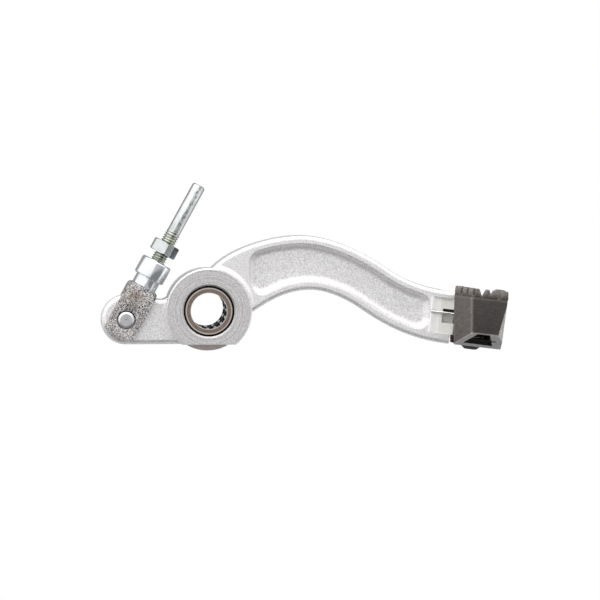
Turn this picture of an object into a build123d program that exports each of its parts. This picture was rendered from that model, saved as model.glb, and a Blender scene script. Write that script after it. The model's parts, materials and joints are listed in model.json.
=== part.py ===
from build123d import *
import os
from math import acos, atan2, cos, degrees, hypot, pi, radians, sin, sqrt, tan

# A rear brake pedal: a forged lever that turns on a shaft in two needle bearings,
# a fork head with its push rod at the tail, and a sprung folding step at the toe.
# Millimetres and degrees. The origin is the middle of the pivot bore.
# X runs forward to the step, Y across the pedal and away from its outer side, Z up.

# Pivot bearings
shaft_d = 14.0            # shaft that the pedal turns on
needle_d = 2.0
needle_count = 16
needle_play = 0.02        # rollers to shaft
race_play = 0.03          # rollers to cup
pocket_play = 0.08        # rollers to cage windows
lip_play = 0.06           # cup lips to shaft
cup_wall = 0.95
lip_thick = 0.8
cup_corner = 0.9
bearing_width = 12.0
cage_wall = 1.3
cage_ring = 0.6           # solid band at each end of the cage
cage_play = 0.12
bearing_inset = 0.8       # hub face to cup

# Hub
hub_d = 33.7
hub_length = 30.0
boss_d = 32.2             # inner, full-round stretch of the hub
hub_flat = 13.1           # pivot centre down to the flat
flat_length = 12.5        # outer face to the end of the flat
bore_chamfer = 0.6
hub_edge = 0.5
hub_proud = 1.6           # hub face ahead of the arm's face
hub_cove = 1.5            # height of the cove between hub and arm
cove_run = 2.4
cove_dip = 0.3            # middle of the cove, as a share of its size

# Arm: heights and slopes of its top and under edges along the run
arm_thick = 12.0
root_x = 1.2
root_z = 16.9
root_slope = 45.0
shoulder_x = 16.1
shoulder_z = 25.7
shoulder_slope = 19.5
crest_x = 36.0
crest_z = 29.4
crest_depth = 21.2
crest_lean = 3.8          # under edge's crest lies this much further forward
under_root_x = 15.0
under_root_z = -2.0
under_root_slope = 36.0
waist_x = 65.6
waist_z = 8.2
waist_depth = 19.0
waist_slope = -35.0
end_depth = 20.5
end_drop = 0.6            # arm's end lies this much under the fold axis centre
edge_round = 1.5
rim_width = 2.8
pocket_start = 15.8
pocket_end_gap = 17.6     # fold axis back to the pocket's end
pocket_depth = 3.2
pocket_corner = 5.2
pocket_cove = 3.0

# Toe end: fold axis, tongue, spring slot
tip_x = 104.8
tip_z = -3.6
tip_slope = -6.7
flange_gap = 9.2          # fold axis back to the end of the arm's flanges
tongue_height = 14.2
knuckle_r = 5.0
relief_start = 13.8       # fold axis back to the end of the milled land
relief_cutter_r = 6.6
slot_height = 5.5
slot_end = 5.6
channel_end = 13.0
channel_depth = 3.5
slit_height = 1.4

# Tail lug and fork head
pin_x = -32.4
pin_z = -3.4
pin_d = 6.4
pin_play = 0.05
pin_bevel = 0.8
pin_sink_d = 7.5          # countersink in the ears round the pin
pin_sink = 0.5
pin_dimple = 0.5
pin_head_d = 9.0
pin_head = 1.5
lug_r = 9.8
lug_thick = 5.8
lug_play = 0.15
lug_top_slope = 8.0
lug_fillet = 4.0
lug_edge = 2.0
fork_lean = 28.9          # rod axis from upright
fork_width = 12.4
fork_tail = 8.3           # pin down to the ears' ends
fork_tail_r = 10.8
fork_shoulder = 14.8      # pin up to the top of the ears
fork_slot = 13.2          # pin up to the floor of the slot
fork_cone = 2.2
neck_d = 10.0
collar_start = 18.4
collar_end = 25.8
collar_d = 12.4
collar_bevel = 0.5

# Push rod and lock nut
thread_d = 6.0
thread_play = 0.05
rod_d = 5.3
rod_start = 17.6
rod_thread_end = 38.9
rod_end = 60.0
rod_bevel = 0.6
nut_flats = 10.0
nut_thick = 4.7
nut_start = 29.4
nut_turn = 34.0

# Folding step
step_front = 24.0         # fold axis out to the outer wall
step_left = 9.4
step_right = 10.0
step_rear = 3.0
corner_run = 6.3
corner_depth = 5.6
step_top = 9.1
step_bottom = 10.2
step_wall = 2.4
floor_thick = 2.6
roof_start = 7.4          # fold axis out to the open top
toe_ridge = 4.9           # fold axis centre down to the outer wall's lower edge
toe_run = 5.9             # how far the underside slopes in
right_bevel = 2.4         # width of the outer right corner's bevel at the toe ridge
bevel_start = 9.0         # height where that bevel begins
window_left = -5.1
window_shoulder = -0.1
window_right = 6.5
window_sill = 9.2
window_rise = 0.2         # sill's left end above its right end
window_lean = 1.7
window_depth = 16.4
ear_play = 0.25
ear_r = 6.3
lower_ear_r = 7.4
fold_angle = 40.0
fold_play = 0.4
tooth_height = 3.3
tooth_width = 3.4
tooth_set = 0.45          # teeth stand this far in from the walls
tooth_gap = 2.8
tooth_root = 0.5
tooth_round = 0.25
shallow_gap = 1.7         # depth of every other gap in front
corner_gap = 1.1
front_start = 0.6         # first front tooth reaches round the corner by this much
front_teeth_count = 4
corner_teeth_count = 3
side_teeth_count = 5

# Step bolt, bush and spring
bolt_d = 5.0
bolt_play = 0.05
bolt_head_d = 7.8
bolt_head = 1.9
bolt_crown_d = 4.8        # flat on top of the head
bolt_shoulder_d = 7.0
bolt_shoulder = 1.0
bolt_rim = 0.2
bolt_socket = 3.0
socket_depth = 1.3
bolt_roof = 1.6           # ear's top down to the bolt's end
hole_roof = 0.8           # ear's top down to the end of the bolt's hole
bush_d = 6.4
bush_play = 0.05
wire_d = 1.0
coil_play = 0.25
coil_pitch = 1.05
leg_height = 1.2
leg_reach = 17.8
leg_end_angle = 235.0     # where the coil leaves for the step
coil_turn_count = 2
leg_gap = 0.3
leg_play = 0.05

# Values that follow from the sizes above
shaft_r = shaft_d / 2
roller_r = needle_d / 2
roller_pitch_r = shaft_r + needle_play + roller_r
race_r = roller_pitch_r + roller_r + race_play
cup_r = race_r + cup_wall
lip_r = shaft_r + lip_play
hub_out = -hub_length / 2
hub_in = hub_length / 2
arm_out = hub_out + hub_proud
arm_in = arm_out + arm_thick
arm_mid = (arm_out + arm_in) / 2
half_tongue = tongue_height / 2
tip_lean = radians(-tip_slope)
tip = Location((tip_x, arm_mid, tip_z), (0, -tip_slope, 0))
fork = Location((pin_x, arm_mid, pin_z), (0, fork_lean, 0))


def slab(outline, y_from, y_to):
    """Extrude an outline drawn in X and Z between two values of Y."""
    return extrude(Plane.XZ.offset(-y_to) * outline, amount=y_to - y_from)


def block(x, y, z):
    """A box given by its limits along each axis."""
    size = Box(x[1] - x[0], y[1] - y[0], z[1] - z[0])
    return Pos(sum(x) / 2, sum(y) / 2, sum(z) / 2) * size


def disc(r, z_from, z_to):
    """A cylinder on the local Z axis between two heights."""
    return Pos(0, 0, (z_from + z_to) / 2) * Cylinder(r, z_to - z_from)


def turned(points, axis):
    """Revolve a closed profile given as radius and height."""
    plane = Plane.XY if axis == Axis.Y else Plane.XZ
    return revolve(plane * Polygon(*points, align=None), axis=axis)


def tip_point(x, z):
    """A point of the toe end's frame, as X and Z of the pedal."""
    along = cos(tip_lean)
    down = sin(tip_lean)
    return tip_x + x * along + z * down, tip_z - x * down + z * along


def arm_outline(inset):
    """The arm seen from outside, moved inward by an inset."""
    half_waist = waist_depth / 2
    lean = radians(waist_slope)
    top_end = tip_point(-flange_gap, end_depth / 2 - end_drop)
    under_end = tip_point(-flange_gap, -end_depth / 2 - end_drop)
    top = [
        (root_x, root_z, root_slope),
        (shoulder_x, shoulder_z, shoulder_slope),
        (crest_x, crest_z, 0.0),
        (waist_x - half_waist * sin(lean), waist_z + half_waist * cos(lean), waist_slope),
        (*top_end, tip_slope),
    ]
    under = [
        (under_root_x, under_root_z, under_root_slope),
        (crest_x + crest_lean, crest_z - crest_depth, 0.0),
        (waist_x + half_waist * sin(lean), waist_z - half_waist * cos(lean), waist_slope),
        (*under_end, tip_slope),
    ]

    def edge(stations, side):
        points = []
        ways = []
        for x, z, slope in stations:
            turn = radians(slope)
            points.append((x + side * inset * sin(turn), z - side * inset * cos(turn)))
            ways.append((cos(turn), sin(turn)))
        return Spline(*points, tangents=ways)

    upper = edge(top, 1)
    lower = edge(under, -1)
    return make_face([upper, Line(upper @ 1, lower @ 1), lower, Line(lower @ 0, upper @ 0)])


def arm_beam():
    """The arm as an I section: rounded edges, and a coved pocket on each side."""
    beam = slab(arm_outline(0.0), arm_out, arm_in)
    beam = fillet(beam.edges().filter_by(GeomType.BSPLINE), edge_round)
    pocket_end = tip_point(-pocket_end_gap, 0)[0]
    pocket_span = pocket_end - pocket_start
    window = Pos((pocket_start + pocket_end) / 2, 0) * Rectangle(pocket_span, 4 * crest_z)
    pocket = arm_outline(rim_width) & window
    pocket = fillet(pocket.vertices(), pocket_corner)
    beam -= slab(pocket, arm_out, arm_out + pocket_depth)
    beam -= slab(pocket, arm_in - pocket_depth, arm_in)
    web_faces = [arm_out + pocket_depth, arm_in - pocket_depth]
    for level in web_faces:
        rim = beam.edges().filter_by_position(Axis.Y, level - 0.01, level + 0.01)
        beam = fillet(rim, pocket_cove)
    return beam


def hub_body():
    """The turned hub: round inner boss, flat underneath at the outer end."""
    outer_r = hub_d / 2
    flat_end = hub_out + flat_length
    body = turned([
        (0, hub_out), (outer_r - hub_edge, hub_out), (outer_r, hub_out + hub_edge),
        (outer_r, flat_end), (boss_d / 2, flat_end), (boss_d / 2, hub_in - hub_edge),
        (boss_d / 2 - hub_edge, hub_in), (0, hub_in),
    ], Axis.Y)
    body -= block((-hub_d, hub_d), (hub_out - 1, flat_end), (-hub_d, -hub_flat))
    return body


def hub_root():
    """The cove that carries the arm's outer face up to the hub's face."""
    outer_r = hub_d / 2
    rise = arm_out - hub_cove
    below = arm_out + edge_round
    middle = (outer_r + cove_dip * cove_run, arm_out - cove_dip * hub_cove)
    arc = ThreePointArc((outer_r, rise), middle, (outer_r + cove_run, arm_out))
    rest = Polyline(arc @ 1, (outer_r + cove_run, below), (outer_r - 1, below), (outer_r - 1, rise), arc @ 0)
    ring = revolve(make_face([arc, *rest.edges()]), axis=Axis.Y)
    return ring & slab(arm_outline(edge_round), hub_out, arm_in)


def tail_lug():
    """The lug behind the hub that the fork head straddles."""
    lean = radians(lug_top_slope)
    top = (pin_x + lug_r * sin(lean), pin_z + lug_r * cos(lean))
    reach = -top[0]
    top_at_hub = (0, top[1] - reach * sin(lean) / cos(lean))
    plate = Pos(pin_x, pin_z) * Circle(lug_r)
    plate += Polygon((pin_x, pin_z - lug_r), (0, -hub_flat), top_at_hub, top, align=None)
    outline = plate + (Circle(hub_d / 2) & Pos(0, hub_d) * Rectangle(hub_d, 2 * (hub_d + hub_flat)))
    meet = (-hub_d / 2, top_at_hub[1] + hub_d / 2 * sin(lean), 0)
    corner = outline.vertices().sort_by_distance(meet)[0]
    outline = fillet(corner, lug_fillet)
    lug = slab(outline, arm_mid - lug_thick / 2, arm_mid + lug_thick / 2)
    rims = [e for e in lug.edges().filter_by(Plane.XZ) if e.center().X < -hub_d / 2]
    return fillet(rims, lug_edge)


def tongue():
    """The knuckle at the toe end, in the toe end's frame."""
    body = block((-relief_start, 0), (-knuckle_r, knuckle_r), (-half_tongue, half_tongue))
    return body + disc(knuckle_r, -half_tongue, half_tongue)


def tongue_cuts():
    """Milled land, spring slot, bush bore and the slit that takes the spring's leg."""
    face = arm_thick / 2
    bit = relief_cutter_r
    cuts = disc(bush_d / 2 + bush_play, -end_depth, end_depth)
    for side in (-1, 1):
        near, far = sorted((side * knuckle_r, side * (face + 1)))
        land = block((-relief_start, 0), (near, far), (-half_tongue, half_tongue))
        cove = Pos(-relief_start, side * (knuckle_r + bit), 0)
        cuts += land + cove * disc(bit, -half_tongue, half_tongue)
    slot = (-slot_height / 2, slot_height / 2)
    cuts += block((-slot_end, 2 * knuckle_r), (-face - 1, face + 1), slot)
    cuts += block((-channel_end, 0), (-face - 1, -knuckle_r + channel_depth), slot)
    slit = (leg_height - slit_height / 2, leg_height + slit_height / 2)
    cuts += block((-leg_reach - wire_d / 2, -channel_end), (-face - 1, -knuckle_r), slit)
    return cuts


def pedal_lever():
    """The one-piece forging: hub, tail lug, arm and tongue."""
    bore_r = cup_r
    bore = turned([
        (0, hub_out - 1), (bore_r + bore_chamfer + 1, hub_out - 1),
        (bore_r, hub_out + bore_chamfer), (bore_r, hub_in - bore_chamfer),
        (bore_r + bore_chamfer + 1, hub_in + 1), (0, hub_in + 1),
    ], Axis.Y)
    pin_hole = slab(Pos(pin_x, pin_z) * Circle(pin_d / 2 + pin_play), arm_out, arm_in)
    lever = arm_beam() + tip * tongue() - tip * tongue_cuts()
    lever = lever + hub_root() + tail_lug() + hub_body()
    return lever - bore - pin_hole


def bearing_cup():
    """A drawn cup with a lip turned in at each end, centred on Y = 0."""
    half = bearing_width / 2
    profile = Polygon(
        (lip_r, -half), (cup_r, -half), (cup_r, half), (lip_r, half), (lip_r, half - lip_thick),
        (race_r, half - lip_thick), (race_r, lip_thick - half), (lip_r, lip_thick - half), align=None)
    rims = [v for v in profile.vertices() if v.X > race_r + cup_wall / 2]
    return revolve(fillet(rims, cup_corner), axis=Axis.Y)


def around_pivot(shape):
    """Copies of a shape at each roller's place."""
    step = 360 / needle_count
    return [Rot(0, step * i, 0) * shape for i in range(needle_count)]


def bearing_cage():
    """The cage: a sleeve with a window for each roller."""
    half = bearing_width / 2 - lip_thick - cage_play
    outside = roller_pitch_r + cage_wall / 2
    inside = roller_pitch_r - cage_wall / 2
    sleeve = turned([(inside, -half), (outside, -half), (outside, half), (inside, half)], Axis.Y)
    width = needle_d + 2 * pocket_play
    window = Pos(roller_pitch_r, 0, 0) * Box(2 * cage_wall, 2 * (half - cage_ring), width)
    return sleeve - around_pivot(window)


def bearing_needles():
    """The rollers, each its own solid."""
    half = bearing_width / 2 - lip_thick - cage_play - cage_ring - pocket_play
    roller = Pos(roller_pitch_r, 0, 0) * Cylinder(roller_r, 2 * half, rotation=(90, 0, 0))
    return around_pivot(roller)


def fork_head():
    """Square bar turned at the neck and collar, slotted and cross-drilled, in the fork's frame."""
    half = fork_width / 2
    corner_r = 1.01 * half * sqrt(2)
    top = fork_shoulder
    bar = block((-half, half), (-half, half), (-fork_tail - 1, top))
    tail = Pos(0, 0, fork_tail_r - fork_tail) * Cylinder(fork_tail_r, fork_width, rotation=(90, 0, 0))
    tail += block((-half, half), (-half, half), (0, top))
    cone = turned([
        (0, -2 * fork_tail), (corner_r, -2 * fork_tail), (corner_r, top - fork_cone),
        (neck_d / 2, top), (0, top),
    ], Axis.Z)
    body = (bar & tail) & cone
    wide = collar_d / 2
    body += turned([
        (0, fork_slot), (neck_d / 2, fork_slot), (neck_d / 2, collar_start),
        (wide - collar_bevel, collar_start), (wide, collar_start + collar_bevel),
        (wide, collar_end - collar_bevel), (wide - collar_bevel, collar_end), (0, collar_end),
    ], Axis.Z)
    gap = lug_thick / 2 + lug_play
    body -= block((-fork_width, fork_width), (-gap, gap), (-2 * fork_tail, fork_slot))
    body -= Cylinder(pin_d / 2, 2 * fork_width, rotation=(90, 0, 0))
    sink_r = pin_sink_d / 2
    body -= turned([(0, -half), (sink_r, -half), (pin_d / 2, pin_sink - half), (0, pin_sink - half)], Axis.Y)
    return body - disc(thread_d / 2 + thread_play, fork_slot - 1, collar_end + 1)


def clevis_pin():
    """The pin through ears and lug: staked outer end with a dimple, flat head inside."""
    out = -fork_width / 2
    r = pin_d / 2
    back = fork_width / 2
    return turned([
        (0, out + pin_dimple), (pin_dimple, out), (r - pin_bevel, out), (r, out + pin_bevel / 2),
        (r, back), (pin_head_d / 2, back), (pin_head_d / 2, back + pin_head), (0, back + pin_head),
    ], Axis.Y)


def push_rod():
    """Rolled thread at the fork end, plain shank with a bevelled end."""
    thread_r = thread_d / 2
    r = rod_d / 2
    return turned([
        (0, rod_start), (thread_r - rod_bevel, rod_start), (thread_r, rod_start + rod_bevel),
        (thread_r, rod_thread_end), (r, rod_thread_end + rod_bevel), (r, rod_end - rod_bevel),
        (r - rod_bevel, rod_end), (0, rod_end),
    ], Axis.Z)


def lock_nut():
    """Hexagon nut with bevelled corners."""
    corner_r = nut_flats / sqrt(3)
    bevel = corner_r - nut_flats / 2
    top = nut_start + nut_thick
    hexagon = RegularPolygon(corner_r, 6, rotation=nut_turn)
    prism = Pos(0, 0, nut_start) * extrude(hexagon, amount=nut_thick)
    envelope = turned([
        (0, nut_start), (corner_r - bevel, nut_start), (corner_r, nut_start + bevel / 2),
        (corner_r, top - bevel / 2), (corner_r - bevel, top), (0, top),
    ], Axis.Z)
    return (prism & envelope) - disc(thread_d / 2 + thread_play, nut_start - 1, top + 1)


def step_plan(inset, extra=0.0):
    """The step seen from above, moved inward by an inset, with extra width on the right."""
    left = -step_left + inset
    front = -step_front + inset
    right = step_right - inset + extra
    shrink = inset * (corner_run + corner_depth - hypot(corner_run, corner_depth))
    corner_back = front + corner_depth - shrink / corner_run
    corner_front = left + corner_run - shrink / corner_depth
    return Polygon(
        (left, 0), (left, corner_back), (corner_front, front), (right, front),
        (right, step_rear - inset), (0, ear_r - inset), align=None)


def swept_arm(half_width, keep_r):
    """Plan of the room that the arm needs as the step folds, outside a kept round."""
    far = 3 * step_front
    strip = Pos(-far / 2, 0) * Rectangle(far, 2 * half_width)
    a = radians(fold_angle)
    pie = Polygon((0, 0), (-far, 0), (-far * cos(a), -far * sin(a)), align=None)
    return strip + Rot(0, 0, fold_angle) * strip + pie - Circle(keep_r)


def crown():
    """Teeth along the left corner, the outer wall and the right side of the tread."""
    shift = step_top * tan(tip_lean)
    band = step_plan(tooth_set, extra=shift + tooth_set) - step_plan(tooth_width, extra=shift)
    ring = Pos(-shift, 0, step_top) * extrude(band, amount=tooth_height)
    ring -= block((-2 * step_left, 2 * step_right), (-ear_r, 2 * ear_r), (0, 2 * step_top))

    def groove(width, depth):
        half_root = tooth_root / 2
        floor = step_top + tooth_height - depth
        spread = (width / 2 - half_root) / depth
        high = 2 * tooth_height
        half_top = half_root + spread * high
        vee = Polygon((-half_top, floor + high), (-half_root, floor), (half_root, floor),
                      (half_top, floor + high), align=None)
        return extrude(Plane.XZ * vee, amount=1.5 * tooth_width, both=True)

    deep = tooth_height - tooth_root
    wide_groove = groove(tooth_gap, deep)
    shallow_groove = groove(tooth_gap * shallow_gap / deep, shallow_gap)
    corner_groove = groove(corner_gap, deep)
    corner_turn = -degrees(atan2(corner_depth, corner_run))
    corner_back = Vector(-step_left - shift, -step_front + corner_depth)
    corner_front = Vector(-step_left - shift + corner_run, -step_front)
    front_left = corner_front + Vector(front_start, 0)
    right_front = Vector(step_right, -step_front)
    right_back = Vector(step_right, -ear_r)
    for i in range(1, corner_teeth_count + 1):
        place = corner_back + (corner_front - corner_back) * (i / corner_teeth_count)
        ring -= Pos(place) * Rot(0, 0, corner_turn) * corner_groove
    for i in range(1, front_teeth_count):
        place = front_left + (right_front - front_left) * (i / front_teeth_count)
        ring -= Pos(place) * (wide_groove if i % 2 else shallow_groove)
    for i in range(1, side_teeth_count):
        place = right_front + (right_back - right_front) * (i / side_teeth_count)
        ring -= Pos(place) * Rot(0, 0, 90) * wide_groove
    tips = ring.edges().group_by(Axis.Z)[-1]
    return fillet(tips, tooth_round)


def step():
    """The cast toe piece: toothed tread, outer wall, sloped underside and two ears."""
    tall = 2 * (step_top + tooth_height + step_bottom)
    upright = (-sin(tip_lean), 0, cos(tip_lean))
    limits = block((-tall, step_right), (-tall, tall), (-step_bottom, step_top))
    wide_plan = step_plan(0.0, extra=tall * sin(tip_lean))
    body = extrude(wide_plan, amount=tall, dir=upright, both=True) & limits
    body += disc(ear_r, half_tongue + ear_play, step_top)
    body += disc(lower_ear_r, -step_bottom, -half_tongue - ear_play)
    body += crown()
    # hollow inside, open at the top ahead of the ears
    inner = step_plan(step_wall)
    floor = -step_bottom + floor_thick
    body -= Pos(0, 0, floor) * extrude(inner, amount=half_tongue + ear_play - floor)
    open_top = block((-tall, tall), (-tall, -roof_start), (0, tall))
    body -= extrude(inner, amount=tall) & open_top
    # underside slopes in from the outer wall, with a window in the slope
    slope = Plane.YZ * Polygon(
        (-step_front - 1, -toe_ridge + (step_bottom - toe_ridge) / toe_run),
        (-step_front + toe_run, -step_bottom), (-step_front + toe_run, -2 * step_bottom),
        (-step_front - 1, -2 * step_bottom), align=None)
    body -= extrude(slope, amount=tall, both=True)
    window = Polygon(
        (window_left, -window_sill + window_rise), (window_right, -window_sill),
        (window_right - window_lean, -toe_ridge), (window_shoulder, -toe_ridge), align=None)
    window_back = Pos(0, window_depth - step_front, 0)
    body -= window_back * extrude(Plane.XZ * window, amount=step_front)
    # right-hand corner bevel that widens downward
    corner = []
    for z in (bevel_start, -step_bottom - 1):
        size = 1 + right_bevel * (bevel_start - z) / (bevel_start + toe_ridge)
        triangle = Polygon((1, -1), (1, size), (-size, -1), align=None)
        corner.append(Pos(step_right, -step_front, z) * triangle)
    body -= loft(corner)
    # room for the arm and tongue through the fold
    flange_room = swept_arm(arm_thick / 2 + fold_play, flange_gap - fold_play)
    knuckle_room = knuckle_r + fold_play
    gap = half_tongue + ear_play
    body -= disc(knuckle_room, -gap, gap)
    body -= Pos(0, 0, -gap) * extrude(swept_arm(knuckle_room, bush_d / 2), amount=2 * gap)
    body -= extrude(flange_room, amount=tall, both=True)
    return body - disc(bolt_d / 2 + bolt_play, -tall, step_top - hole_roof)


def step_bolt():
    """Low domed bolt with a hexagon socket, entered from below."""
    r = bolt_d / 2
    head_r = bolt_head_d / 2
    seat = -step_bottom
    crown_z = seat - bolt_head
    end = step_top - bolt_roof
    body = turned([
        (0, crown_z), (bolt_crown_d / 2, crown_z), (bolt_shoulder_d / 2, seat - bolt_shoulder),
        (head_r, seat - bolt_rim), (head_r, seat), (r, seat), (r, end), (0, end),
    ], Axis.Z)
    socket = RegularPolygon(bolt_socket / sqrt(3), 6)
    return body - Pos(0, 0, crown_z) * extrude(socket, amount=socket_depth)


def step_bush():
    """Sleeve on the bolt, clamped between the step's ears, that the tongue turns on."""
    half = half_tongue + ear_play
    return disc(bush_d / 2, -half, half) - disc(bolt_d / 2 + bolt_play, -tip_x, tip_x)


def step_spring():
    """Torsion spring round the bush: one leg in the arm's slit, the other inside the step."""
    wire_r = wire_d / 2
    coil_r = bush_d / 2 + coil_play + wire_r
    climb = coil_pitch / (2 * pi * coil_r)
    leg_y = -knuckle_r - wire_r - leg_play
    bend = Vector(-channel_end, leg_y, leg_height)
    span = hypot(bend.X, bend.Y)
    start_angle = degrees(atan2(bend.Y, bend.X) + acos(coil_r / span)) % 360
    top = leg_height - climb * sqrt(span ** 2 - coil_r ** 2)
    turn = coil_turn_count * 360 - (start_angle - leg_end_angle) % 360
    low = top - coil_pitch * turn / 360
    coil = Pos(0, 0, low) * Rot(0, 0, leg_end_angle) * Helix(coil_pitch, top - low, coil_r, lefthand=True)
    leave = coil @ 0
    way = radians(leg_end_angle + 90)
    run = (step_right - step_wall - wire_r - leg_gap - leave.X) / cos(way)
    step_end = leave + Vector(run * cos(way), run * sin(way), -run * climb)
    path = Wire([
        Edge.make_line(step_end, leave), coil.edge(), Edge.make_line(coil @ 1, bend),
        Edge.make_line(bend, Vector(-leg_reach, leg_y, leg_height)),
    ])
    section = Plane(path @ 0, z_dir=path % 0) * Circle(wire_r)
    return sweep(section, path=path, transition=Transition.RIGHT)


bearing_shift = hub_length / 2 - bearing_inset - bearing_width / 2
pieces = {"pedal_lever": pedal_lever()}
for side, shift in (("outer", -bearing_shift), ("inner", bearing_shift)):
    place = Pos(0, shift, 0)
    pieces[side + "_bearing_cup"] = place * bearing_cup()
    pieces[side + "_bearing_cage"] = place * bearing_cage()
    pieces[side + "_bearing_needles"] = Compound([place * roller for roller in bearing_needles()])
pieces["fork_head"] = fork * fork_head()
pieces["clevis_pin"] = fork * clevis_pin()
pieces["push_rod"] = fork * push_rod()
pieces["lock_nut"] = fork * lock_nut()
pieces["step"] = tip * step()
pieces["step_bolt"] = tip * step_bolt()
pieces["step_bush"] = tip * step_bush()
pieces["step_spring"] = tip * step_spring()

os.makedirs("parts", exist_ok=True)
for name, shape in pieces.items():
    export_step(shape, f"parts/{name}.step")
    print(name, round(shape.volume, 1))
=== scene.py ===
# %% [markdown]
# # A rear brake pedal in Blender
# The pedal is a forged alloy lever with needle bearings in its hub, a zinc-plated fork head and
# push rod on its tail, and a cast folding step at its toe. Its solids come from the frame, in
# metres and in place. This lesson gives them their finishes and models what a solid leaves plain:
# the rod's rolled thread and the soft edges of the casting and the fork. The spring is a smooth
# copy of its solid.

import json
from math import ceil, hypot, pi, radians

import bmesh
import bpy
from mathutils import Matrix, Vector


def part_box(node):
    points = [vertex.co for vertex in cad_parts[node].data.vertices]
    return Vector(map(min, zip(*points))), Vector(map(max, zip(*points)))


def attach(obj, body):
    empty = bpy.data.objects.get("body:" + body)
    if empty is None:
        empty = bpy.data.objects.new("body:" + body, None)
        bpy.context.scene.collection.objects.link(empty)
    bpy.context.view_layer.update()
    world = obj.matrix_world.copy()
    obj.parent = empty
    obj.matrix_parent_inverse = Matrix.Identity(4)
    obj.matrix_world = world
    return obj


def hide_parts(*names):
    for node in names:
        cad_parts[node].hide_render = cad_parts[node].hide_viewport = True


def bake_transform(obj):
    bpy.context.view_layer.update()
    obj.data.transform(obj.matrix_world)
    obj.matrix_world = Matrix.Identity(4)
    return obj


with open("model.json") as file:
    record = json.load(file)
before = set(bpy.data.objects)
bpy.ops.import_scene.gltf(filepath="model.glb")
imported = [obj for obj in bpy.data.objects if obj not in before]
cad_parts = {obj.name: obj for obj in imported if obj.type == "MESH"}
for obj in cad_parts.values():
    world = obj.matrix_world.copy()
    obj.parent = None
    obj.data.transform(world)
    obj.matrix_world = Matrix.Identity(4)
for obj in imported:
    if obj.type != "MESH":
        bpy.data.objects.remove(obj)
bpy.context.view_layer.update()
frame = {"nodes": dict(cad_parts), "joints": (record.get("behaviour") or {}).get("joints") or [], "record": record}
nodes = frame["nodes"]
joints = {joint["name"]: joint for joint in frame["joints"]}
MM = 0.001

# %% [markdown]
# ## Places on the pedal
# The joints say where the pieces turn and slide, so the main places and directions that a finish or
# a thread needs are read from them and from the nodes' boxes, instead of being typed again.

# %% Read places from the frame
pin = Vector(joints["fork_swing"]["pos_m"])
rod_way = Vector(joints["rod_reach"]["axis"]).normalized()
tip = Vector(joints["step_fold"]["pos_m"])
fold_up = -Vector(joints["step_fold"]["axis"]).normalized()
side_way = Vector((0, 1, 0))
across_rod = side_way.cross(rod_way)
toe_way = side_way.cross(fold_up)
hub_out, hub_in = (corner.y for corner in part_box("pedal_lever"))
arm_mid = tip.y
step_low, step_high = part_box("step")
fork_axes = Matrix((across_rod, side_way, rod_way)).transposed()
fork_frame = Matrix.Translation(pin) @ fork_axes.to_4x4()
print("pin", pin, "rod way", rod_way, "toe", tip)

# %% [markdown]
# ## The camera
# A product photograph is taken from far away with a long lens, so parallel edges stay parallel. The
# camera looks along +Y, a little from the left and from above. One pixel of the 600 pixel picture
# is 0.392 mm at the hub's outer face, which sets how much the lens takes in.

# %% Set up the camera
PICTURE = 600
PIXEL = 0.392 * MM
PIVOT_PX = (209.0, 311.0)
CAMERA_FAR = 2.4
CAMERA_LEFT = radians(4.0)
CAMERA_ABOVE = radians(2.8)
SENSOR_MM = 36.0
SIGHT_END = 20.0

aim = Vector(((PICTURE / 2 - PIVOT_PX[0]) * PIXEL, hub_out, (PIVOT_PX[1] - PICTURE / 2) * PIXEL))
aside = Matrix.Rotation(-CAMERA_LEFT, 3, "Z") @ Matrix.Rotation(-CAMERA_ABOVE, 3, "X")
back = aside @ Vector((0, -1, 0))
camera = bpy.data.objects.new("camera", bpy.data.cameras.new("camera"))
camera.data.sensor_width = SENSOR_MM
camera.data.lens = SENSOR_MM * CAMERA_FAR / (PICTURE * PIXEL)
camera.data.clip_end = SIGHT_END
camera.location = aim + back * CAMERA_FAR
camera.rotation_mode = "QUATERNION"
camera.rotation_quaternion = (-back).to_track_quat("-Z", "Y")
bpy.context.collection.objects.link(camera)
bpy.context.scene.camera = camera
print("camera at", [round(v, 3) for v in camera.location], "lens", round(camera.data.lens), "mm")

# %% [markdown]
# ## Writing shader maths as Python
# A material is a graph of nodes, and a long graph is hard to read as a list of links. This small
# class wraps a socket, so that ordinary arithmetic adds Math nodes. Its `node` method adds any
# other node: its settings are set first, then its sockets get a number, a colour or a link.

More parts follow.
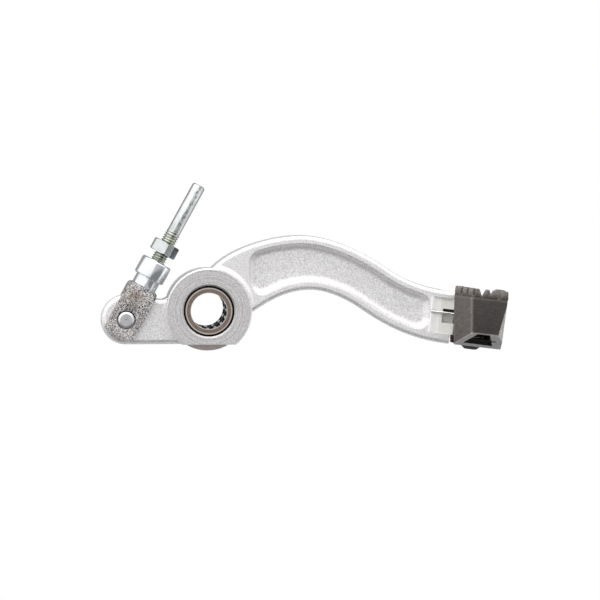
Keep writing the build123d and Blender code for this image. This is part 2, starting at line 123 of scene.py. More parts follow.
# %% A socket that does arithmetic
class Socket:
    """The output of a node, which can be added, multiplied and compared with others and with numbers."""

    LUMP = 0.6

    def __init__(self, tree, output):
        self.tree = tree
        self.output = output

    def node(self, kind, settings=None, sockets=None, output=0):
        made = self.tree.nodes.new(kind)
        for name, value in (settings or {}).items():
            setattr(made, name, value)
        for name, value in (sockets or {}).items():
            if isinstance(value, Socket):
                self.tree.links.new(value.output, made.inputs[name])
            else:
                made.inputs[name].default_value = value
        return Socket(self.tree, made.outputs[output])

    def maths(self, operation, first, second=0.0):
        return self.node("ShaderNodeMath", {"operation": operation}, {0: first, 1: second})

    def __add__(self, other):
        return self.maths("ADD", self, other)

    def __radd__(self, other):
        return self.maths("ADD", other, self)

    def __sub__(self, other):
        return self.maths("SUBTRACT", self, other)

    def __rsub__(self, other):
        return self.maths("SUBTRACT", other, self)

    def __mul__(self, other):
        return self.maths("MULTIPLY", self, other)

    def __rmul__(self, other):
        return self.maths("MULTIPLY", other, self)

    def __truediv__(self, other):
        return self.maths("DIVIDE", self, other)

    def __pow__(self, other):
        return self.maths("POWER", self, other)

    def __lt__(self, other):
        return self.maths("LESS_THAN", self, other)

    def __gt__(self, other):
        return self.maths("GREATER_THAN", self, other)

    def __neg__(self):
        return self.maths("SUBTRACT", 0.0, self)

    def __abs__(self):
        return self.maths("ABSOLUTE", self)

    def larger(self, other):
        """The larger of two values, which joins two masks."""
        return self.maths("MAXIMUM", self, other)

    def ramp(self, low, high):
        """0 at low and below, 1 at high and above, smooth between."""
        limits = {"Value": self, "From Min": low, "From Max": high}
        return self.node("ShaderNodeMapRange", {"interpolation_type": "SMOOTHSTEP"}, limits)

    def sway(self, amount):
        """Noise from 0 to 1 as a change up and down round nothing."""
        return amount * (self - 0.5)

    def between(self, first, second):
        """A colour between two others, by this value."""
        ends = {0: self, 6: first, 7: second}
        return self.node("ShaderNodeMix", {"data_type": "RGBA"}, ends, output=2)

    def grain(self, size, detail=3.0, rough=0.5):
        """Noise from 0 to 1 with lumps of about this size, on these coordinates."""
        sockets = {"Vector": self, "Scale": self.LUMP / size, "Detail": detail, "Roughness": rough}
        return self.node("ShaderNodeTexNoise", None, sockets)

    def vectors(self, operation, first, second, output="Value"):
        return self.node("ShaderNodeVectorMath", {"operation": operation}, {0: first, 1: second}, output)

    def along(self, way, start):
        """How far these coordinates lie from a point, along a direction."""
        return self.vectors("DOT_PRODUCT", self.vectors("SUBTRACT", self, start, "Vector"), way)

    def axes(self):
        """X, Y and Z of these coordinates."""
        split = self.node("ShaderNodeSeparateXYZ", None, {0: self}).output.node
        return [Socket(self.tree, output) for output in split.outputs]


print("socket maths ready")

# %% [markdown]
# ## The studio
# The photograph seems to be taken in white surroundings that are brightest above and at the sides,
# and dimmer low down and to the right of the camera. Polished zinc shows all of that as stripes.
# Many lamps could give them, each with its own place and size. Here the world's light changes with
# direction instead, which is one small graph to adjust, and one large soft lamp hangs above. Camera
# rays see plain white.

# %% Light of the studio
SIDE_LIGHT = 1.23
BACK_LIGHT = 0.38
DARK_LOSS = 0.62
UPPER_LIGHT = 0.5
LOWER_LOSS = 0.8
LEFT_MORE = 0.6
LEAST_LIGHT = 0.25

# Where each change of the light begins and ends, in parts of a direction of length 1.
DARK_LEFT, DARK_RIGHT = (-0.05, 0.12), (0.7, 0.9)
DARK_FRONT, DARK_TOP = (0.1, 0.4), (0.25, 0.6)
LOW, LOW_FRONT, LOW_LEFT = (0.0, 0.6), (-0.3, 0.25), (0.0, 0.4)
UPPER, UPPER_FRONT = (0.2, 0.7), (-0.2, 0.3)
BEHIND = (0.15, 0.6)

LAMP_AT = Vector((0.02, -0.12, 0.55))
LAMP_TO = Vector((0.03, 0.0, 0.0))
LAMP_SIZE = (0.7, 0.45)
LAMP_WATTS = 0.9


def plain_view(tree):
    """1 for the rays that see the plain background: the camera's own, and those through glass."""
    path = tree.nodes.new("ShaderNodeLightPath")
    camera_ray = Socket(tree, path.outputs["Is Camera Ray"])
    return camera_ray.larger(Socket(tree, path.outputs["Is Transmission Ray"]))


def light_world():
    world = bpy.data.worlds.new("studio")
    bpy.context.scene.world = world
    world.use_nodes = True
    tree = world.node_tree
    tree.nodes.clear()
    seen = plain_view(tree)
    x, y, z = seen.node("ShaderNodeTexCoord", output="Generated").axes()
    front = -y
    dark = x.ramp(*DARK_LEFT) * (1 - x.ramp(*DARK_RIGHT))
    dark = dark * front.ramp(*DARK_FRONT) * (1 - z.ramp(*DARK_TOP))
    lower = LOWER_LOSS * (-z).ramp(*LOW) * front.ramp(*LOW_FRONT)
    lower = lower * (1 + LEFT_MORE * (-x).ramp(*LOW_LEFT))
    upper = z.ramp(*UPPER) * front.ramp(*UPPER_FRONT)
    level = SIDE_LIGHT - DARK_LOSS * dark + UPPER_LIGHT * upper - lower
    behind = y.ramp(*BEHIND)
    light = level.larger(LEAST_LIGHT) * (1 - behind) + BACK_LIGHT * behind
    strength = seen + (1 - seen) * light
    shade = seen.node("ShaderNodeBackground", None, {"Color": (1, 1, 1, 1), "Strength": strength})
    out = tree.nodes.new("ShaderNodeOutputWorld")
    tree.links.new(shade.output, out.inputs["Surface"])


def hang_lamp():
    light = bpy.data.lights.new("top_box", "AREA")
    light.shape = "RECTANGLE"
    light.size, light.size_y = LAMP_SIZE
    light.energy = LAMP_WATTS
    lamp = bpy.data.objects.new("top_box", light)
    lamp.location = LAMP_AT
    lamp.rotation_euler = (LAMP_TO - LAMP_AT).to_track_quat("-Z", "Y").to_euler()
    bpy.context.collection.objects.link(lamp)


light_world()
hang_lamp()
bpy.context.scene.view_settings.view_transform = "Standard"
print("studio lit, lamp of", LAMP_WATTS, "W")

# %% [markdown]
# ## The floor
# The photograph has no floor line, only white. The floor is one large face that camera rays see
# almost white, so that it shades into the background and still keeps a little of the pedal's
# shadow. The metal doesn't mirror it, because its reflections come from the studio's own light.

# %% Lay the floor
FLOOR_HALF = (6, 4, 1)
FLOOR_AT = (0, 3.75, -0.25)
FLOOR_SHADE = (0.9, 0.9, 0.9, 1)
FLOOR_SHINE = 0.95


def lay_floor():
    bm = bmesh.new()
    bmesh.ops.create_grid(bm, x_segments=1, y_segments=1, size=1.0)
    bmesh.ops.scale(bm, vec=FLOOR_HALF, verts=bm.verts)
    bmesh.ops.translate(bm, vec=FLOOR_AT, verts=bm.verts)
    mesh = bpy.data.meshes.new("floor")
    bm.to_mesh(mesh)
    bm.free()
    material = bpy.data.materials.new("pale_floor")
    material.use_nodes = True
    tree = material.node_tree
    tree.nodes.clear()
    seen = plain_view(tree)
    matt = seen.node("ShaderNodeBsdfDiffuse", None, {"Color": FLOOR_SHADE})
    white = seen.node("ShaderNodeEmission", None, {"Strength": 1.0})
    shade = seen.node("ShaderNodeMixShader", None, {0: seen * FLOOR_SHINE, 1: matt, 2: white})
    out = tree.nodes.new("ShaderNodeOutputMaterial")
    tree.links.new(shade.output, out.inputs["Surface"])
    mesh.materials.append(material)
    floor = bpy.data.objects.new("floor", mesh)
    bpy.context.collection.objects.link(floor)
    floor.visible_glossy = False


lay_floor()
print("floor laid at", FLOOR_AT)

# %% [markdown]
# ## Starting a finish
# Every finish starts the same way: a Principled shader and the Object coordinates, which are the
# frame's own metres because each object sits at the origin.

# %% A new material
finishes = {}


def new_finish(name):
    """The Principled node and the object coordinates of a new material, which is kept by its name."""
    material = bpy.data.materials.new(name)
    material.use_nodes = True
    finishes[name] = material
    tree = material.node_tree
    coordinates = tree.nodes.new("ShaderNodeTexCoord")
    return tree.nodes["Principled BSDF"], Socket(tree, coordinates.outputs["Object"])


def feed(shader, **sockets):
    """Set or link the shader's sockets, named with underscores for spaces."""
    for name, value in sockets.items():
        socket = shader.inputs[name.replace("_", " ")]
        if isinstance(value, Socket):
            value.tree.links.new(value.output, socket)
        else:
            socket.default_value = value


def relief(height, depth):
    """Bump whose full height is a depth in metres."""
    sockets = {"Height": height, "Distance": depth, "Strength": 1.0}
    return height.node("ShaderNodeBump", None, sockets, "Normal")


def tinted(level, red, green, blue):
    """A colour whose three parts are shares of one level."""
    parts = {0: level * red, 1: level * green, 2: level * blue}
    return level.node("ShaderNodeCombineColor", None, parts)


def from_axis(place, centre=(0, 0, 0)):
    """How far these coordinates lie from an axis along Y."""
    x, _, z = place.axes()
    return ((x - centre[0]) ** 2 + (z - centre[2]) ** 2) ** 0.5


print("finish tools ready")

# %% [markdown]
# ## The lever's finish
# A forging comes out of the die with a fine pebbled skin, which is then blasted to an even silver
# grey. The hub's two faces are turned, with rings round the bore, and the toe is milled smooth and
# pale. These could be materials of their own on chosen faces. One material with masks made from
# distances does it too, and leaves the solid's mesh alone. Light and shade are painted in places:
# the cove at the arm's end is painted pale as a highlight, on a rougher, less metallic finish, while
# the boss under the hub, the slot above the spring's leg and what lies in the step are painted dark as shade.

# %% Forged and machined alloy
HUB_R = 16.85 * MM
BORE_EDGE = 11.3 * MM
FLAT_Z = -13.12 * MM
ON_FACE = 0.05 * MM
SKIN_GRAIN = 0.26 * MM
SKIN_LUMPS = 2.5 * MM
SKIN_CLOUD = 9 * MM
SKIN_DEEP = 0.03 * MM
TOOL_MARK = 0.5 * MM
LAND_START = 13.9 * MM
LAND_HALF = 5.05 * MM
COVE_START = 17.8 * MM
COVE_HALF = 7.0 * MM
IN_STEP = 8.6 * MM
LEG_UP = 0.8 * MM
SLOT_HALF = 2.8 * MM
TONGUE_HALF = 7.0 * MM
TONGUE_BACK = 3 * MM
# Painted light and shade: a pale highlight colour for the cove, and dark shade for the slot above the spring's leg
# and for what lies in the step.
COVE_PAINTED_LIGHT = (0.97, 0.96, 0.95, 1)
SLOT_SHADE = (0.07, 0.078, 0.072, 1)
IN_STEP_SHADE = (0.014, 0.012, 0.01, 1)


def within_step(place):
    """1 where these coordinates are past the step's edge, with a millimetre of fade."""
    return place.along(toe_way, tip).ramp(-IN_STEP, 1 * MM - IN_STEP)


def lever_finish():
    shader, place = new_finish("forged_alloy")
    _, y, z = place.axes()
    radius = from_axis(place)
    toward_toe = place.along(toe_way, tip)
    up = place.along(fold_up, tip)
    land_y = arm_mid - LAND_HALF

    hub_face = (y < hub_out + ON_FACE) + (y > hub_in - ON_FACE)
    turned = (hub_face * (radius < HUB_R)).larger(radius < BORE_EDGE)
    # The boss, cove, slot and in-step masks mark where shade and a highlight are painted.
    boss = (z < FLAT_Z) * (radius < HUB_R)
    milled = (toward_toe > -LAND_START) * (abs(y - arm_mid) < LAND_HALF)
    sloped = toward_toe.ramp(-1.2 * MM - COVE_START, 0.2 * MM - COVE_START)
    sloped = sloped * (toward_toe < -LAND_START)
    cove = sloped * (y < land_y + 0.2 * MM) * (abs(up) < COVE_HALF)
    above_leg = milled * (y > land_y + 0.4 * MM) * (up > LEG_UP) * (up < SLOT_HALF)
    painted_shade = within_step(place) * (abs(up) < TONGUE_HALF) * (y < arm_mid + TONGUE_BACK)

    fine = place.grain(SKIN_GRAIN, 2.0, 0.6).ramp(0.3, 0.7)
    lumps = place.grain(SKIN_LUMPS, 2.0)
    cloud = place.grain(SKIN_CLOUD, 2.0)
    turning = {"W": radius / TOOL_MARK, "Scale": 1.0, "Detail": 3.0}
    rings = place.node("ShaderNodeTexNoise", {"noise_dimensions": "1D"}, turning)

    skin = tinted(0.85 + fine.sway(0.36) + cloud.sway(0.04), 1.0, 0.985, 0.99)
    bare = tinted(0.64 + rings.sway(0.55) + fine.sway(0.22), 1.0, 0.975, 0.98)
    land = tinted(0.82 + fine.sway(0.1) + cloud.sway(0.05), 1.0, 0.985, 0.93)
    # Painted shade darkens the boss under the hub, the slot above the spring's leg and what lies in the step; a
    # painted highlight makes the cove pale.
    boss_shade = tinted(0.47 + fine.sway(0.15), 1.05, 0.94, 0.91)
    colour = turned.between(milled.between(skin, land), bare)
    colour = painted_shade.between(above_leg.between(colour, SLOT_SHADE), IN_STEP_SHADE)
    colour = boss.between(cove.between(colour, COVE_PAINTED_LIGHT), boss_shade)
    pale = milled.larger(cove)
    height = (1 - turned.larger(milled)) * (fine * 0.8 + lumps * 0.2) + turned * rings * 0.1
    feed(shader, Base_Color=colour, Metallic=1 - 0.8 * pale, Roughness=0.52 + 0.16 * pale,
         Normal=relief(height, SKIN_DEEP))


lever_finish()
print("lever: forged skin, turned hub, milled toe")

# %% [markdown]
# ## Zinc-plated steel
# Bright zinc is a cool, fairly sharp mirror on turned faces such as the collar, the rod and the
# nut. On the fork's sawn ears it is dull, with a dark speckle and a brown stain, and painted shade
# darkens it round the pin, whose end has a painted highlight ring. Noise would blur the speckle, so
# it comes from Voronoi cells with one shade each. Where the thread was rolled, the plating keeps a
# faint green-yellow tint, and one side of the rod has a darker mottled stripe. One flat of the nut
# shows a painted dark reflection, which nothing in this studio gives.

# %% Rod, nut and pin
THREAD_END = 39.2 * MM
STRIPE_AT = 0.6 * MM
MOTTLE_SIZE = 0.7 * MM
NUT_RIGHT = Vector((0.574, -0.755, -0.317))
NUT_HALF = 5.0 * MM
PLATING_DEEP = 0.006 * MM
PIN_HIGHLIGHT_RING = (2.3 * MM, 2.5 * MM)


def plating(place, level):
    """The zinc's own mottle round a level, and its relief."""
    fine = place.grain(0.3 * MM)
    cloud = place.grain(1.5 * MM)
    return level + cloud.sway(0.3) + fine.sway(0.15), relief(fine + cloud, PLATING_DEEP)


def rod_finish():
    shader, place = new_finish("rod_zinc")
    value, bumps = plating(place, 0.58)
    # A darker mottled stripe runs along one side of the rod.
    stripe = 1 - abs(place.along(across_rod, pin) - STRIPE_AT).ramp(0.3 * MM, 1.0 * MM)
    value = value * (1 - 0.65 * stripe * place.grain(MOTTLE_SIZE, 3.0, 0.7).ramp(0.46, 0.6))
    threaded = 1 - place.along(rod_way, pin).ramp(THREAD_END - 2 * MM, THREAD_END + 1 * MM)
    colour = threaded.between(tinted(value, 0.97, 1.0, 1.01), tinted(value, 0.66, 0.7, 0.58))
    feed(shader, Base_Color=colour, Metallic=1.0, Roughness=0.22, Normal=bumps)


def nut_finish():
    shader, place = new_finish("nut_zinc")
    value, bumps = plating(place, 0.61)
    normals = (face.normal for face in nodes["lock_nut"].data.polygons)
    flat = place.along(max(normals, key=NUT_RIGHT.dot).copy(), pin) > NUT_HALF - 0.03 * MM
    mottle = 0.12 + 0.25 * place.grain(MOTTLE_SIZE).ramp(0.52, 0.75)
    colour = flat.between(tinted(value, 0.96, 1.0, 1.01), tinted(mottle, 0.9, 1.0, 1.15))
    feed(shader, Base_Color=colour, Metallic=1.0, Roughness=0.2, Normal=bumps)


def pin_finish():
    shader, place = new_finish("pin_steel")
    value, bumps = plating(place, 0.54)
    # Painted highlight: a brighter ring at the edge of the pin's end.
    value = value + 0.25 * from_axis(place, pin).ramp(*PIN_HIGHLIGHT_RING)
    colour = tinted(value, 0.99, 0.98, 1.01)
    feed(shader, Base_Color=colour, Metallic=1.0, Roughness=0.32, Normal=bumps)


rod_finish()
nut_finish()
pin_finish()
print("bright zinc: rod, nut, pin")

# %% Fork head
EAR_TOP = 14.9 * MM
PIN_SINK = 3.75 * MM
SPECKLE = 0.25 * MM
SPECKLE_DEEP = 0.003 * MM
STAIN_AT = Vector((-29.8, -13.6, 5.0)) * MM
STAIN = (0.2, 0.13, 0.085, 1)


def fork_finish():
    shader, place = new_finish("fork_zinc")
    reach = place.along(rod_way, pin)
    ear = 1 - reach.ramp(EAR_TOP - 0.6 * MM, EAR_TOP)
    cells = place.node("ShaderNodeTexVoronoi", None, {"Vector": place, "Scale": 1 / SPECKLE}, "Color")
    speckle = cells.ramp(0.3, 0.7)
    cloud = place.grain(2.5 * MM)
    # Painted shade: the fork is darkened round the pin.
    ring_shade = from_axis(place, pin) < PIN_SINK
    low_end = 1 - reach.ramp(-7 * MM, 5 * MM)
    dull = (0.04 + 0.68 * speckle + cloud.sway(0.12) + 0.18 * low_end) * (1 - 0.75 * ring_shade)
    spread = 1 - place.vectors("DISTANCE", place, STAIN_AT).ramp(0.5 * MM, 5.5 * MM)
    stain = spread * place.grain(1.3 * MM).ramp(0.3, 0.6) * 0.7
    stained = stain.between(tinted(dull, 1.0, 0.965, 0.95), STAIN)
    bright = tinted(0.8 + cloud.sway(0.06), 0.97, 1.0, 1.03)
    feed(shader, Base_Color=ear.between(bright, stained), Metallic=1.0,
         Roughness=0.15 + 0.35 * ear, Normal=relief(speckle * ear, SPECKLE_DEEP))


fork_finish()
print("fork head: speckled ears, bright collar")

# %% [markdown]
# ## The step's casting
# The step is cast steel with a dark brown-grey skin, matt and grainy. Light and shade are painted
# on it: the hollow that its window shows is painted black as shade, the front is painted darker, the
# underside and the right side lighter and greyer, and the edges between faces and a line at the
# teeth's base carry painted highlights. Distances from the step's own planes tell these faces apart,
# so nothing has to be selected by hand.

# %% Cast steel
TOE_RIDGE = 4.9 * MM
TREAD = 8.9 * MM
EDGE = 0.3 * MM
HIGHLIGHT_FADE = (0.1 * MM, 0.7 * MM)
WALL = 0.6 * MM
HOLLOW_HALF = 7.6 * MM
HOLLOW_AT = -0.3 * MM
RIGHT_SIDE = 6 * MM
CORNER_AT = 3.1 * MM
CORNER_WAY = Vector((0.664, 0.747, 0))
SLOPE_WAY = 0.668 * side_way + 0.744 * fold_up
CAST_DEEP = 0.09 * MM


def step_finish():
    shader, place = new_finish("step_casting")
    fine = place.grain(0.45 * MM, 4.0, 0.65)
    lumps = place.grain(1.6 * MM)
    across = place.along(toe_way, tip)
    up = place.along(fold_up, tip)
    depth = place.axes()[1] - step_low.y
    front_tip = Vector((tip.x, step_low.y, tip.z))
    behind = place.along(SLOPE_WAY, front_tip - fold_up * TOE_RIDGE)
    in_corner = place.along(CORNER_WAY, front_tip - Vector((CORNER_AT, 0, 0)))

    hollow = (in_corner > WALL) * (up < TREAD) * (depth > WALL)
    hollow = hollow * (behind > EDGE / 2) * (abs(across - HOLLOW_AT) < HOLLOW_HALF)
    front = (depth < EDGE) * (in_corner > EDGE)
    under = behind < EDGE
    teeth = up > TREAD
    right = (across > RIGHT_SIDE) * (depth > EDGE) * (1 - under) * (1 - teeth)
    ledge = (1 - teeth) * up.ramp(TREAD - HIGHLIGHT_FADE[1], TREAD)
    tips = up.ramp(TREAD + 1.2 * MM, TREAD + 3 * MM)
    near_front = 1 - depth.ramp(*HIGHLIGHT_FADE)
    edge_highlight = near_front * (1 - in_corner.ramp(*HIGHLIGHT_FADE)) + near_front * (1 - behind.ramp(*HIGHLIGHT_FADE))

    # Painted light and shade: the front is darker, the underside and the right side lighter, and the edges and the
    # line at the teeth's base carry painted highlights.
    level = 0.094 - 0.045 * front + 0.165 * under + 0.32 * right
    level = level + 0.02 * teeth + 0.08 * tips + 0.05 * ledge + 0.06 * edge_highlight
    value = level * (1 + fine.sway(1.6) + lumps.sway(0.5))
    brown, grey = tinted(value, 1.08, 0.95, 0.9), tinted(value, 1.02, 0.985, 0.98)
    # The hollow is painted black as shade, and the underside and right side take the greyer, lit tint.
    colour = hollow.between(under.larger(right).between(brown, grey), IN_STEP_SHADE)
    feed(shader, Base_Color=colour, Metallic=0.35, Roughness=0.5 + fine.sway(0.2),
         Normal=relief(fine * 0.6 + lumps * 0.5, CAST_DEEP))


step_finish()
print("step: cast skin, black hollow")

# %% [markdown]
# ## Bearing steels, bolt and spring
# The bearing's drawn cup is hardened brown. Its rounded rim and its inside are painted dark as
# shade, and a ring near the rim and its inner edge carry painted highlights; rings of distance from
# the pivot give them. The cage is nearly black and the rollers are polished. The bolt is blackened,
# the bush is ground, and the spring is drawn stainless wire, painted dark as shade inside the step.
# The plain ones share one function, with a colour, a roughness and how metallic they are.

# %% Small steels
RIM_R = 9.25 * MM
CREST_R = 8.9 * MM
INNER_HIGHLIGHT_R = 7.35 * MM
LIP_DEEP = 1.2 * MM
STEEL_GRAIN = 0.3 * MM
HIGHLIGHT_STEEL = (0.8, 0.73, 0.68, 1)
RIM_SHADE = (0.012, 0.011, 0.01, 1)
PLAIN_STEELS = {
    "bearing_cage": ((0.015, 0.014, 0.013), 0.5, 1.0),
    "roller_steel": ((0.95, 0.95, 0.95), 0.14, 1.0),
    "black_bolt": ((0.025, 0.025, 0.026), 0.4, 0.6),
    "bush_steel": ((0.5, 0.5, 0.5), 0.3, 1.0),
}


def plain_steel(name, colour, rough, metal):
    shader, place = new_finish(name)
    fine = place.grain(STEEL_GRAIN)
    cloud = place.grain(6 * STEEL_GRAIN, 2.0)
    tone = 0.8 + 0.25 * fine + 0.15 * cloud
    scaled = {0: colour, "Scale": tone}
    shown = tone.node("ShaderNodeVectorMath", {"operation": "SCALE"}, scaled, "Vector")
    feed(shader, Base_Color=shown, Metallic=metal, Roughness=rough + cloud.sway(0.15),
         Normal=relief(fine, PLATING_DEEP))


def spring_finish():
    shader, place = new_finish("spring_steel")
    drawn = tinted(0.62 + 0.3 * place.grain(STEEL_GRAIN), 1.0, 1.0, 0.98)
    # Painted shade: the wire inside the step is painted dark.
    colour = within_step(place).between(drawn, IN_STEP_SHADE)
    feed(shader, Base_Color=colour, Metallic=1.0, Roughness=0.25)


def cup_finish():
    shader, place = new_finish("bearing_cup")
    _, y, _ = place.axes()
    radius = from_axis(place)
    fine = place.grain(0.4 * MM)
    brown = tinted(0.19 + fine.sway(0.2), 1.2, 0.97, 0.84)
    # Painted light and shade: a highlight ring at the crest and on the inner edge, and shade on the rounded rim
    # and inside the cup.
    crest = 1 - abs(radius - CREST_R).ramp(0.05 * MM, 0.3 * MM)
    bright = (0.7 * crest).larger(1 - radius.ramp(INNER_HIGHLIGHT_R - 0.2 * MM, INNER_HIGHLIGHT_R))
    painted_shade = radius.ramp(RIM_R - 0.1 * MM, RIM_R + 0.1 * MM)
    inside = abs(y) < hub_in - LIP_DEEP
    colour = painted_shade.larger(inside).between(bright.between(brown, HIGHLIGHT_STEEL), RIM_SHADE)
    feed(shader, Base_Color=colour, Metallic=1.0, Roughness=0.32 + 0.3 * painted_shade,
         Normal=relief(fine, 0.01 * MM))


cup_finish()
spring_finish()
for name, look in PLAIN_STEELS.items():
    plain_steel(name, *look)
print("finishes:", ", ".join(finishes))

# %% [markdown]
# ## Dressing the solids
# The record names a material slot for each node. Every solid gets its finish from there, so the
# pieces that stay as solids and the ones that replace a solid look alike.

# %% Give each node its finish
slots = {part["node"]: part["material_slot"] for part in frame["record"]["subparts"]}
for name, node in nodes.items():
    node.data.materials.clear()
    node.data.materials.append(finishes[slots[name]])
print("dressed", len(nodes), "nodes")

# %% [markdown]
# ## Making a piece of a bmesh
# The rod, the step, the fork head and the spring are remade from here on. Each takes the place of
# its solid and keeps that solid's slot, so one helper does the naming and placing for all of them.
# A solid's mesh is loose triangles, so a copy of it is merged before it is worked on.

# %% Helpers for new pieces
WELD = 0.001 * MM


def place_piece(bm, name, body, slot, node):
    """Make an object of a bmesh, on its body if it has just one, with its finish, in place of a node."""
    mesh = bpy.data.meshes.new(name)
    bm.to_mesh(mesh)
    bm.free()
    mesh.materials.append(finishes[slot])
    piece = bpy.data.objects.new(name, mesh)
    bpy.context.collection.objects.link(piece)
    if body:
        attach(piece, body)
    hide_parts(node)
    print(name, len(mesh.polygons), "faces")
    return piece


def merged_copy(node):
    """A bmesh of a node's mesh with its loose triangles joined."""
    bm = bmesh.new()
    bm.from_mesh(nodes[node].data)
    bmesh.ops.remove_doubles(bm, verts=bm.verts, dist=WELD)
    return bm


def slice_mesh(bm, place, way, clear=False):
    """Cut a mesh along a plane, and clear what lies beyond it if asked."""
    everything = bm.verts[:] + bm.edges[:] + bm.faces[:]
    bmesh.ops.bisect_plane(bm, geom=everything, plane_co=place, plane_no=way, clear_outer=clear)


print("piece helpers ready")

# %% [markdown]
# ## The push rod with its thread
# A rolled thread is a helix. Bump could shade it, but the rod's outline would stay straight, so it
# is modelled: one pitch of its flank is turned and lifted at the same time, which bmesh's spin does
# when each of its steps also moves along the axis. Near its end the thread runs out into the plain
# shank, so the points there are eased to the shank's radius, and the rim is then drawn out to the
# rod's end.

# %% Model the push rod
PITCH = 1.0 * MM
THREAD_R = 3.0 * MM
ROOT_R = 2.42 * MM
SHANK_R = 2.65 * MM
RUN_OUT = 1.2 * MM
ROD_BEVEL = 0.6 * MM
ROD_SHORT = 0.01 * MM
TURN_STEPS = 48
TURNS_BELOW = 2
FLANK = ((ROOT_R, 0.0), (ROOT_R, 0.1), (THREAD_R, 0.44),
         (THREAD_R, 0.56), (ROOT_R, 0.9), (ROOT_R, 1.0))


def rod_span():
    """The rod's lower and upper end along its axis, from its node's vertices."""
    reach = [(v.co - pin).dot(rod_way) for v in nodes["push_rod"].data.vertices]
    return min(reach), max(reach) - ROD_SHORT


def wind_thread(bm, low):
    """Wind the flank up from below the rod's end, and ease it to the shank where it runs out."""
    turns = ceil((THREAD_END - low) / PITCH) + TURNS_BELOW
    points = [bm.verts.new((r, 0, low + (share - TURNS_BELOW) * PITCH)) for r, share in FLANK]
    lines = [bm.edges.new(pair) for pair in zip(points, points[1:])]
    bmesh.ops.spin(bm, geom=points + lines, axis=(0, 0, 1), cent=(0, 0, 0), angle=2 * pi * turns,
                   dvec=(0, 0, PITCH / TURN_STEPS), steps=turns * TURN_STEPS)
    bmesh.ops.remove_doubles(bm, verts=bm.verts, dist=WELD)
    for v in bm.verts:
        r = hypot(v.co.x, v.co.y)
        share = min(1.0, max(0.0, (THREAD_END - v.co.z) / RUN_OUT))
        eased = SHANK_R + (r - SHANK_R) * share
        v.co.x *= eased / r
        v.co.y *= eased / r


def threaded_rod():
    low, high = rod_span()
    bm = bmesh.new()
    wind_thread(bm, low)
    slice_mesh(bm, (0, 0, low), (0, 0, -1), clear=True)
    slice_mesh(bm, (0, 0, THREAD_END), (0, 0, 1), clear=True)
    rims = [e for e in bm.edges if e.is_boundary]
    bottom = [e for e in rims if e.verts[0].co.z < low + PITCH / 10]
    rim = [e for e in rims if e.verts[0].co.z > THREAD_END - PITCH / 10]
    bmesh.ops.edgeloop_fill(bm, edges=bottom)
    for level, r in ((high - ROD_BEVEL, SHANK_R), (high, SHANK_R - ROD_BEVEL)):
        grown = bmesh.ops.extrude_edge_only(bm, edges=rim)["geom"]
        rim = [e for e in grown if isinstance(e, bmesh.types.BMEdge) and e.is_boundary]
        for v in {v for e in rim for v in e.verts}:
            v.co = Vector((v.co.x, v.co.y, 0)).normalized() * r + Vector((0, 0, level))
    bmesh.ops.edgeloop_fill(bm, edges=rim)
    bmesh.ops.recalc_face_normals(bm, faces=bm.faces)
    for face in bm.faces:
        face.smooth = abs(face.normal.z) < 0.9
    bm.transform(fork_frame)
    place_piece(bm, "threaded_push_rod", "rod", "rod_zinc", "push_rod")


threaded_rod()

# %% [markdown]
# ## Soft edges on the casting and the fork
# A casting has no sharp edges, and a tumbled steel fork has few. A merged copy of the solid has its
# flat faces joined again, and a small bevel rounds its corners, with the faces' normals kept flat.
# The step's teeth are rounder than a bevel can make them: their faces are cut finer and smoothed,
# and what the smoothing takes off is given back along the normals.

# %% Round the step and the fork head
TOOTH_BASE = 9.15 * MM
TOOTH_FREE = 0.4 * MM
TOOTH_MESH = 0.5 * MM
TOOTH_CUTS = 5
TOOTH_PASSES = 10
TOOTH_SWELL = 0.35 * MM
STEP_BEVEL = 0.22 * MM
FORK_BEVEL = 0.3 * MM


def height_of(v):
    return (v.co - tip).dot(fold_up)


def crown_of(bm):
    """The faces of the teeth, above their base."""
    return [f for f in bm.faces if min(map(height_of, f.verts)) > TOOTH_BASE - 0.01 * MM]


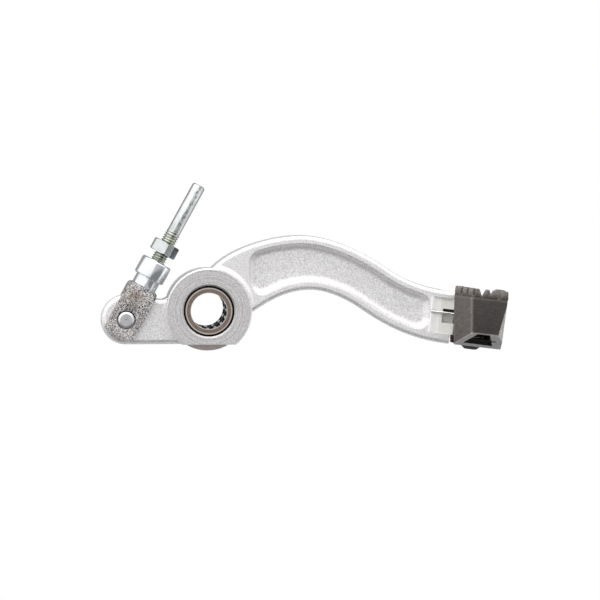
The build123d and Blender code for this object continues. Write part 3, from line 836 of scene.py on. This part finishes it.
def round_teeth(bm):
    """Finer faces on the crown, smoothed as a casting is."""
    slice_mesh(bm, tip + fold_up * TOOTH_BASE, fold_up)
    for _ in range(TOOTH_CUTS):
        bmesh.ops.triangulate(bm, faces=crown_of(bm))
        sides = {e for f in crown_of(bm) for e in f.edges}
        long_sides = [e for e in bm.edges if e in sides and e.calc_length() > TOOTH_MESH]
        bmesh.ops.subdivide_edges(bm, edges=long_sides, cuts=1)
    loose = [v for v in bm.verts if height_of(v) > TOOTH_BASE + TOOTH_FREE]
    for _ in range(TOOTH_PASSES):
        bmesh.ops.smooth_vert(bm, verts=loose, factor=0.5,
                              use_axis_x=True, use_axis_y=True, use_axis_z=True)
    bm.normal_update()
    for v in loose:
        v.co += v.normal * TOOTH_SWELL
        v.co.x = min(v.co.x, step_high.x)


def soft_edges(node, name, body, slot, width, angle, finer=None):
    bm = merged_copy(node)
    bmesh.ops.dissolve_limit(bm, angle_limit=radians(1), verts=bm.verts, edges=bm.edges)
    if finer:
        finer(bm)
    weight = bm.edges.layers.float.new("bevel_weight_edge")
    for e in bm.edges:
        sharp = e.is_manifold and e.calc_face_angle() > radians(angle)
        e[weight] = 1.0 if sharp and min(map(height_of, e.verts)) < TOOTH_BASE else 0.0
    for face in bm.faces:
        face.smooth = True
    piece = place_piece(bm, name, body, slot, node)
    bevel = piece.modifiers.new("soft_edges", "BEVEL")
    bevel.width = width
    bevel.segments = 2
    bevel.limit_method = "WEIGHT"
    bevel.harden_normals = True


soft_edges("step", "cast_step", "step", "step_casting", STEP_BEVEL, 25, round_teeth)
soft_edges("fork_head", "plated_fork_head", "fork", "fork_zinc", FORK_BEVEL, 30)

# %% [markdown]
# ## The spring
# A torsion spring winds up when the step folds: one leg stays in the arm's slit, the other goes
# with the step. Here a merged copy of the spring's solid, smooth-shaded, takes its place; it is on
# no body, and its transform is baked into its mesh, so it does not twist when the step folds. A
# stiff copy would cut through the step as it folds.


def twisting_spring():
    bm = merged_copy("step_spring")
    for e in bm.edges:
        e.smooth = e.is_manifold and e.calc_face_angle() < radians(40)
    for face in bm.faces:
        face.smooth = True
    piece = place_piece(bm, "torsion_spring", None, "spring_steel", "step_spring")
    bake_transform(piece)


twisting_spring()
